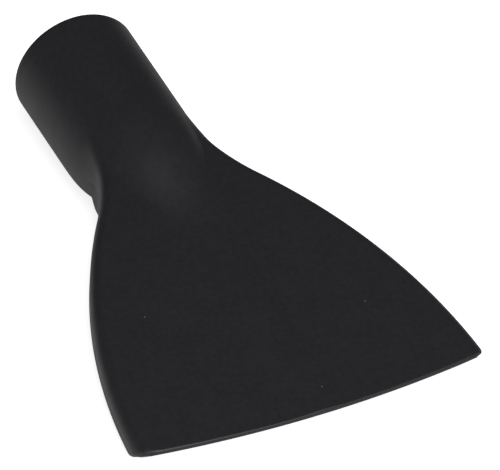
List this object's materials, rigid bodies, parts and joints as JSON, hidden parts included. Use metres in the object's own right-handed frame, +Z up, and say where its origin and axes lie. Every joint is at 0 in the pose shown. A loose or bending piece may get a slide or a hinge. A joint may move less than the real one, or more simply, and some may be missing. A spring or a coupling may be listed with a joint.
{
  "type": "vacuum upholstery nozzle",
  "caption": "Flat fan-shaped upholstery nozzle for a vacuum cleaner, with a round push-fit socket, a flattened neck and a wide slanted slot mouth.",
  "frame": {"origin": "centre of the bounding box in plan, at the surface that the nozzle lies on", "axes": "+X across the mouth to the right, +Y towards the socket, +Z up from the surface that it lies on"},
  "size_m": [0.104, 0.1664, 0.0432],
  "materials": {
    "black_plastic": "fine-textured matte black moulded plastic"
  },
  "bodies": {
    "root": {"nozzle_body": "black_plastic"}
  },
  "joints": []
}
